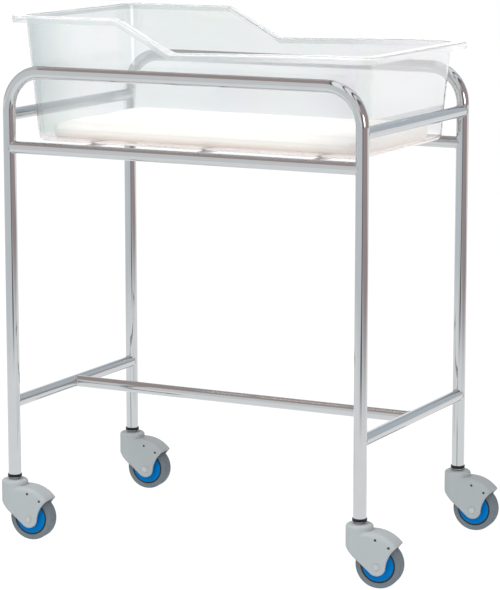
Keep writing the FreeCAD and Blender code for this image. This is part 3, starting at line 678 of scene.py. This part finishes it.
def rounded_slab(low, high):
    """The cover's closed slab with round upright corners and a bevelled edge, as a bmesh."""
    form = bmesh.new()
    size = high - low
    bmesh.ops.create_cube(form, size=1.0)
    bmesh.ops.scale(form, vec=size, verts=form.verts)
    upright = [e for e in form.edges if abs(e.verts[0].co.z - e.verts[1].co.z) > size.z / 2]
    bmesh.ops.bevel(form, geom=upright, offset=COVER_CORNER, segments=10, affect="EDGES", profile=0.5)
    flat = [e for e in form.edges
            if abs(e.verts[0].co.z - e.verts[1].co.z) < SAME_PLACE
            and abs(abs(e.verts[0].co.z) - size.z / 2) < SAME_PLACE
            and len({round(f.normal.z) for f in e.link_faces}) > 1]
    bmesh.ops.bevel(form, geom=flat, offset=COVER_EDGE, segments=4, affect="EDGES", profile=0.5)
    bmesh.ops.translate(form, vec=(high + low) / 2, verts=form.verts)
    bmesh.ops.recalc_face_normals(form, faces=form.faces)
    return form


def blown_up(piece, pressure, swell):
    """Remesh, inflate as cloth and cap how far each point moves."""
    remesh = piece.modifiers.new("remesh", "REMESH")
    remesh.mode = "VOXEL"
    remesh.voxel_size = COVER_CELL
    mesh = as_mesh(piece)
    piece.modifiers.clear()
    piece.data = mesh
    start = [v.co.copy() for v in mesh.vertices]
    cloth = piece.modifiers.new("cloth", "CLOTH")
    cloth.settings.use_pressure = True
    cloth.settings.uniform_pressure_force = pressure
    cloth.settings.quality = 5
    cloth.settings.tension_stiffness = 25
    cloth.settings.compression_stiffness = 25
    cloth.settings.bending_stiffness = 4
    cloth.settings.effector_weights.gravity = 0
    cloth.collision_settings.use_collision = False
    cloth.point_cache.frame_start = 1
    cloth.point_cache.frame_end = BLOWING_FRAMES
    for number in range(1, BLOWING_FRAMES + 1):
        bpy.context.scene.frame_set(number)
    blown = as_mesh(piece)
    piece.modifiers.clear()
    piece.data = blown
    bpy.context.scene.frame_set(1)
    for vertex, before in zip(blown.vertices, start):
        move = vertex.co - before
        if move.length > swell:
            vertex.co = before + move * (swell / move.length)


# The girth's line is where rays meet the cover on their way in to a squarish oval.
GIRTH_POINTS = 260
GIRTH_POWER = 0.22   # of cosine and sine: the smaller, the squarer the oval
GIRTH_INNER = 0.8    # the oval's size, as a share of the cover's
GIRTH_TURN = 6       # the larger, the later the rays turn from one side to the next
GIRTH_START = 0.3    # how far outside the oval the rays start


def powered(number, power):
    """A power that keeps the number's sign."""
    return math.copysign(abs(number) ** power, number)


def girth_line(piece, height):
    """The line round a piece at a height."""
    places = [v.co for v in piece.data.vertices]
    tree = BVHTree.FromPolygons(places, [p.vertices for p in piece.data.polygons])
    low, high = (Vector((found(p.x for p in places), found(p.y for p in places))) for found in (min, max))
    centre, half = (low + high) / 2, (high - low) / 2
    points = []
    for number in range(GIRTH_POINTS):
        turn = math.tau * number / GIRTH_POINTS
        x, y = powered(math.cos(turn), GIRTH_POWER), powered(math.sin(turn), GIRTH_POWER)
        target = Vector((centre.x + x * half.x * GIRTH_INNER, centre.y + y * half.y * GIRTH_INNER, height))
        away = Vector((powered(x, GIRTH_TURN), powered(y, GIRTH_TURN), 0)).normalized()
        hit = tree.ray_cast(target + away * GIRTH_START, -away)[0]
        if hit is not None:
            points.append(hit)
    return points


def cover_vinyl(settings, low, high):
    """The wipe-clean cover: faint grain and slack, and painted shade that darkens it towards its base."""
    material, tree, shader, place = new_material("wipe_clean_cover")
    # Painted shade: darker towards the cover's base.
    lower = ramp(tree, axes_of(tree, place)[2], high - 0.006, low + 0.004)
    cover = blended(tree, lower, settings.colour, settings.shaded_colour)
    grainy = place_group(tree, "moulded_grain", {"Vector": place, "Colour": cover, "Grain size": 0.0011,
                                                 "Cloud": 0.03, "Roughness": 0.42})
    fill(tree, shader, {"Base Color": grainy["Colour"], "Roughness": grainy["Roughness"],
                        "Sheen Weight": 0.08})
    slack = noise(tree, place, 16.0, 3.0, 0.55)
    bump(tree, shader, math_of(tree, "MULTIPLY_ADD", slack, 18.0, grainy["Height"]), 0.00005)
    return material


class PaddedMattress(bpy.types.Operator):
    """Sew the mattress: a padded cover with a welded seam"""
    bl_idname = "bassinet.padded_mattress"
    bl_label = "Padded mattress"

    def execute(self, context):
        settings = context.scene.bassinet_mattress
        low, high = (Vector(corner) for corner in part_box("mattress_cover"))
        material = cover_vinyl(settings, low.z, high.z)
        form = rounded_slab(low + Vector((SIDE_ROOM, SIDE_ROOM, BASE_ROOM)),
                            high - Vector((SIDE_ROOM, SIDE_ROOM, TOP_ROOM)))
        mesh = bpy.data.meshes.new("mattress")
        form.to_mesh(mesh)
        form.free()
        mattress = new_object("mattress", mesh)
        blown_up(mattress, settings.pressure, settings.swell)
        for vertex in mattress.data.vertices:
            vertex.co.z = max(vertex.co.z, low.z + LEAST_HEIGHT)
        seam_line = girth_line(mattress, low.z + SEAM_LEVEL * (high.z - low.z))
        smooth = mattress.modifiers.new("smooth", "SUBSURF")
        smooth.levels = smooth.render_levels = 1
        mattress.data.materials.append(material)
        for face in mattress.data.polygons:
            face.use_smooth = True
        seam = grown(curve_piece("seam_line", [seam_line]), bpy.data.node_groups["bead_along_line"],
                     "mattress_seam", Radius=settings.seam_radius, Ripple=0.05, Pitch=0.004, Step=0.002,
                     Material=material)
        for piece in (mattress, seam):
            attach(piece, "mattress")
        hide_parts("mattress_cover", "mattress_foam")
        return {"FINISHED"}


# ---------------------------------------------------------------- casters

class CasterFinishes(bpy.types.Operator):
    """Give each caster's pieces their plastics, rubber and steel"""
    bl_idname = "bassinet.caster_finishes"
    bl_label = "Caster finishes"

    def execute(self, context):
        settings = context.scene.bassinet_casters
        finishes = {
            "caster_housing": moulded("housing_plastic", settings.housing, 0.50, grain=0.0007, depth=0.00004,
                                      dust=0.06, edge_radius=0.0035, specular=0.38),
            "thread_guards": moulded("guard_plastic", settings.guard, 0.34, grain=0.0010, depth=0.00002,
                                     specular=0.03),
            "tyre": moulded("tyre_rubber", settings.tyre, 0.62, grain=0.0009, depth=0.00005, cloud=0.16,
                            dust=0.15),
            "wheel_core": moulded("core_plastic", (0.012, 0.012, 0.014), 0.45),
            "leg_plug": moulded("plug_plastic", (0.010, 0.010, 0.012), 0.38, specular=0.2),
            "axle_spacers": moulded("spacer_plastic", (0.30, 0.31, 0.32), 0.45),
            "wheel_bush": moulded("bush_plastic", (0.80, 0.80, 0.78), 0.40),
            "caster_stem": plated("zinc_plate", (0.44, 0.44, 0.43), 0.26, smear=0.12),
            "swivel_bearing": plated("bearing_steel", (0.52, 0.52, 0.52), 0.22, smear=0.10),
            "wheel_axle": plated("axle_steel", (0.50, 0.51, 0.52), 0.24, smear=0.10),
        }
        for corner in CORNERS:
            for kind, material in finishes.items():
                paint(f"{corner}_{kind}", material)
        return {"FINISHED"}


# The holes in a housing: how far from the swivel's axis, and how high above the floor.
HOUSING_HOLES = ((0.03806, 0.09463), (0.06376, 0.08192))
# Painted shade: a dark disc set back in each hole stands in for the shade inside it.
SHADE_DISC_RADIUS, SHADE_DISC_DEPTH, SHADE_DISC_SET_BACK = 0.00248, 0.0022, 0.0009
CHEEK_OUTSIDE = 0.0255  # from the wheel's middle plane

# The tyre's section: half of its flat tread and the radius of its shoulders.
HALF_TREAD, SHOULDER = 0.0105, 0.0035
RIB_RADIUS = 0.00055
RIB_ANGLES = (25, 45, 65, 90)  # degrees round the shoulder, where a rib's points lie


def on_caster(corner, origin):
    """The turn and place that bring what is made along X to a caster's own heading."""
    wheel, stem = middle(f"{corner}_tyre"), middle(f"{corner}_caster_stem")
    heading = math.atan2(wheel.y - stem.y, wheel.x - stem.x)
    return Matrix.Translation(origin) @ Matrix.Rotation(heading, 4, "Z")


class TreadRibs(bpy.types.Operator):
    """Ring each tyre with fine moulded ribs"""
    bl_idname = "bassinet.tread_ribs"
    bl_label = "Tread ribs"

    def execute(self, context):
        settings = context.scene.bassinet_casters
        tree = make_rib_tree()
        rubber = bpy.data.materials["tyre_rubber"]
        arc_middle = WHEEL_RADIUS - SHOULDER - (RIB_RADIUS - settings.rib_height)
        arc = [(HALF_TREAD + SHOULDER * math.cos(a), arc_middle + SHOULDER * math.sin(a))
               for a in map(math.radians, RIB_ANGLES)]
        line = [(0, y, z) for y, z in arc] + [(0, -y, z) for y, z in reversed(arc)]
        for corner in CORNERS:
            ribs = grown(curve_piece("rib_line", [line], cyclic=False), tree, f"{corner}_tread_ribs",
                         Count=settings.rib_count, Radius=RIB_RADIUS, Material=rubber)
            ribs.data.transform(on_caster(corner, middle(f"{corner}_tyre")))
            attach(ribs, f"{corner}_wheel")
        return {"FINISHED"}


class HoleShades(bpy.types.Operator):
    """Set a dark disc back in each small hole of the housings' cheeks: painted shade in place of the shade
    inside the hole
    """
    bl_idname = "bassinet.blind_holes"
    bl_label = "Painted hole shade"

    def execute(self, context):
        tree = make_shade_disc_tree()
        dark = bpy.data.materials["core_plastic"]
        away = CHEEK_OUTSIDE - SHADE_DISC_SET_BACK - SHADE_DISC_DEPTH / 2
        points = [(x, side * away, z) for x, z in HOUSING_HOLES for side in (-1, 1)]
        for corner in CORNERS:
            mesh = bpy.data.meshes.new("hole_points")
            mesh.from_pydata(points, [], [])
            plugs = grown(new_object("hole_points", mesh), tree, f"{corner}_hole_shade_discs",
                          Radius=SHADE_DISC_RADIUS, Depth=SHADE_DISC_DEPTH, Material=dark)
            stem = middle(f"{corner}_caster_stem")
            plugs.data.transform(on_caster(corner, (stem.x, stem.y, 0)))
            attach(plugs, f"{corner}_swivel")
        return {"FINISHED"}


# ---------------------------------------------------------------- studio

# Windows and their dark frames in the ceiling: where each starts and ends along X on the unit
# sphere, and its tone.
WINDOWS = (
    (-0.30, -0.24, (0.10, 0.09, 0.09)),
    (-0.24, 0.10, (1.25, 1.25, 1.24)),
    (0.10, 0.17, (0.06, 0.06, 0.06)),
    (0.17, 0.42, (1.20, 1.20, 1.20)),
    (0.42, 0.50, (0.05, 0.05, 0.05)),
    (0.50, 0.64, (0.95, 0.95, 0.96)),
    (0.64, 1.10, (0.22, 0.20, 0.20)),
)
WINDOW_BLUR = 0.02  # how softly each starts and ends

# Where the room's warm dim wall and a dark gap lie: degrees round from the camera, seen from above.
WARM_SIDE = 68.0
DARK_GAP = 8.0
HIDDEN = 0.85  # how much of them clear plastic hides, so that the tub stays bright

LAMP_SIDE = Vector((0.875, -0.45, 0.12)).normalized()  # where a bright lamp stands in the room
FAR_FLOOR = (1.05, 1.05, 1.05)  # tone of the floor behind the object and below the horizon


def turned(direction, degrees):
    """A direction turned round the Z axis."""
    return Matrix.Rotation(math.radians(degrees), 3, "Z") @ direction


def dimming(tree, paths):
    """The share of the room's dim places that shows: less through clear plastic."""
    return math_of(tree, "MULTIPLY_ADD", paths["Is Transmission Ray"], -HIDDEN, 1.0)


def studio_world(towards_camera, flat):
    """Light all round: a ceiling with windows, a cool backdrop, a lamp, a warm wall and a dark gap."""
    world = bpy.data.worlds.new("studio")
    world.use_nodes = True
    tree = world.node_tree
    tree.nodes.clear()
    way = add(tree, "ShaderNodeTexCoord").outputs["Generated"]
    along, _, rise = axes_of(tree, way)
    paths = add(tree, "ShaderNodeLightPath").outputs
    dim = dimming(tree, paths)

    def facing(direction, low, high):
        return ramp(tree, reach(tree, way, direction), low, high)

    colour = blended(tree, facing(-flat, 0.1, 0.5), (0.86, 0.86, 0.86), (0.62, 0.69, 0.74))
    colour = blended(tree, ramp(tree, rise, 0.03, -0.03), colour, FAR_FLOOR)
    warm = math_of(tree, "MULTIPLY", facing(turned(flat, WARM_SIDE), 0.50, 0.66), dim)
    colour = blended(tree, warm, colour, (0.47, 0.375, 0.37))
    dark = math_of(tree, "MULTIPLY", facing(turned(flat, DARK_GAP), 0.93, 0.98), dim)
    colour = blended(tree, dark, colour, (0.24, 0.23, 0.23))
    beyond = Vector((-towards_camera.x, -towards_camera.y, towards_camera.z))
    colour = blended(tree, facing(beyond, 0.975, 0.99), colour, (1.15, 1.15, 1.15))
    lamp = math_of(tree, "MULTIPLY", facing(LAMP_SIDE, 0.978, 0.990), ramp(tree, rise, -0.03, 0.02))
    colour = blended(tree, lamp, colour, (4.5, 4.5, 4.5))
    ceiling = blended(tree, ramp(tree, along, -0.52, -0.62), (0.47, 0.40, 0.385), (0.72, 0.74, 0.73))
    for start, end, tone in WINDOWS:
        here = math_of(tree, "MULTIPLY", ramp(tree, along, start - WINDOW_BLUR, start + WINDOW_BLUR),
                       ramp(tree, along, end + WINDOW_BLUR, end - WINDOW_BLUR))
        ceiling = blended(tree, here, ceiling, tone)
    colour = blended(tree, ramp(tree, rise, 0.57, 0.65), colour, ceiling)
    seen = blended(tree, paths["Is Camera Ray"], colour, WHITE)
    sky = add(tree, "ShaderNodeBackground", {"Color": seen, "Strength": 1.0})
    add(tree, "ShaderNodeOutputWorld", {"Surface": sky.outputs[0]})
    return world


def floor_material(flat):
    """Pale floor that glows: to the camera nine tenths glowing white over a matt floor; to other rays a glow
    of painted room tones, bright near and behind the object, dimmer far out towards the room's warm side.
    """
    material = bpy.data.materials.new("studio_floor")
    material.use_nodes = True
    tree = material.node_tree
    tree.nodes.clear()
    place = add(tree, "ShaderNodeTexCoord").outputs["Object"]
    paths = add(tree, "ShaderNodeLightPath").outputs
    dim = dimming(tree, paths)
    behind = reach(tree, place, (0.0, 1.0, 0.0))
    gap = turned(flat, DARK_GAP)
    distance = add(tree, "ShaderNodeVectorMath", {0: place}, operation="LENGTH").outputs["Value"]
    colour = blended(tree, ramp(tree, distance, 1.5, 3.2), (1.03, 1.06, 1.06), (0.80, 0.85, 0.88))
    colour = blended(tree, ramp(tree, behind, 0.0, 1.6), colour, FAR_FLOOR)
    warm = math_of(tree, "MULTIPLY", ramp(tree, reach(tree, place, turned(flat, WARM_SIDE)), 1.4, 3.4),
                   ramp(tree, behind, 3.5, 2.5))
    colour = blended(tree, math_of(tree, "MULTIPLY", warm, dim), colour, (0.47, 0.385, 0.38))
    aside = math_of(tree, "ABSOLUTE", reach(tree, place, turned(gap, 90.0)))
    dark = math_of(tree, "MULTIPLY", ramp(tree, reach(tree, place, gap), 1.4, 2.6),
                   ramp(tree, aside, 0.70, 0.35))
    colour = blended(tree, math_of(tree, "MULTIPLY", dark, dim), colour, (0.17, 0.165, 0.165))
    # The floor glows, though it is no lamp: this glow, in painted room tones, lights the object from below
    # and shows in its reflections.
    glow = add(tree, "ShaderNodeEmission", {"Color": colour, "Strength": 1.0})
    matt = add(tree, "ShaderNodeBsdfDiffuse", {"Color": (0.95, 0.95, 0.95, 1.0)})
    white = add(tree, "ShaderNodeEmission", {"Color": (*WHITE, 1.0), "Strength": 1.06})
    seen = add(tree, "ShaderNodeMixShader", {0: 0.90, 1: matt.outputs[0], 2: white.outputs[0]})
    mixed = add(tree, "ShaderNodeMixShader", {0: paths["Is Camera Ray"], 1: glow.outputs[0],
                                              2: seen.outputs[0]})
    add(tree, "ShaderNodeOutputMaterial", {"Surface": mixed.outputs[0]})
    return material


def soft_light(name, place, target, size, power):
    """A square light that faces a point and stays out of reflections."""
    lamp = bpy.data.lights.new(name, "AREA")
    lamp.shape = "SQUARE"
    lamp.size = size
    lamp.energy = power
    item = new_object(name, lamp)
    item.location = place
    item.rotation_euler = (Vector(target) - Vector(place)).to_track_quat("-Z", "Y").to_euler()
    item.visible_glossy = False
    item.visible_transmission = False


class Studio(bpy.types.Operator):
    """Stand the object on a pale floor in soft light, in front of the camera"""
    bl_idname = "bassinet.studio"
    bl_label = "Studio"

    def execute(self, context):
        settings = context.scene.bassinet_studio
        back = Vector(settings.camera_back).normalized()
        flat = Vector((back.x, back.y, 0)).normalized()
        context.scene.world = studio_world(back, flat)
        half = settings.floor_size / 2
        mesh = bpy.data.meshes.new("studio_floor")
        mesh.from_pydata([(-half, -half, 0), (half, -half, 0), (half, half, 0), (-half, half, 0)], [],
                         [(0, 1, 2, 3)])
        new_object("studio_floor", mesh, floor_material(flat))
        soft_light("key_light", place=(-0.6, -1.6, 3.0), target=(0, 0, 0.6), size=2.0,
                   power=settings.key_power)
        soft_light("fill_light", place=(2.4, -2.2, 1.8), target=(0, 0, 0.5), size=1.6,
                   power=0.35 * settings.key_power)
        camera = bpy.data.cameras.new("camera")
        camera.lens = settings.focal_length
        camera.sensor_width = 36.0
        camera.clip_end = 100.0
        eye = new_object("camera", camera)
        eye.location = settings.camera_place
        eye.rotation_euler = back.to_track_quat("Z", "Y").to_euler()
        context.scene.camera = eye
        context.scene.view_settings.view_transform = "Standard"
        context.scene.view_settings.look = "None"
        return {"FINISHED"}


# ---------------------------------------------------------------- panel

SETTINGS = {
    "bassinet_chrome": ChromeSettings,
    "bassinet_tub": TubSettings,
    "bassinet_mattress": MattressSettings,
    "bassinet_casters": CasterSettings,
    "bassinet_studio": StudioSettings,
}
OPERATORS = (FinishTubes, WeldBeads, ClearTub, PaddedMattress, CasterFinishes, TreadRibs, HoleShades, Studio)


class BassinetPanel(bpy.types.Panel):
    bl_idname = "VIEW3D_PT_bassinet"
    bl_label = "Hospital bassinet"
    bl_space_type = "VIEW_3D"
    bl_region_type = "UI"
    bl_category = "Bassinet"

    def draw(self, context):
        for name, group in SETTINGS.items():
            box = self.layout.box()
            for setting in group.__annotations__:
                box.prop(getattr(context.scene, name), setting)
        for operator in OPERATORS:
            self.layout.operator(operator.bl_idname)


def register():
    for item in (*SETTINGS.values(), *OPERATORS, BassinetPanel):
        bpy.utils.register_class(item)
    for name, group in SETTINGS.items():
        setattr(bpy.types.Scene, name, bpy.props.PointerProperty(type=group))


def unregister():
    for name in SETTINGS:
        delattr(bpy.types.Scene, name)
    for item in (BassinetPanel, *OPERATORS, *SETTINGS.values()):
        bpy.utils.unregister_class(item)


def main():
    register()
    for make in (make_moulded_grain, make_handling_marks, make_settled_dust, make_stress_tint):
        make()
    for operator in OPERATORS:
        area, name = operator.bl_idname.split(".")
        getattr(getattr(bpy.ops, area), name)()


if __name__ == "__main__":
    main()
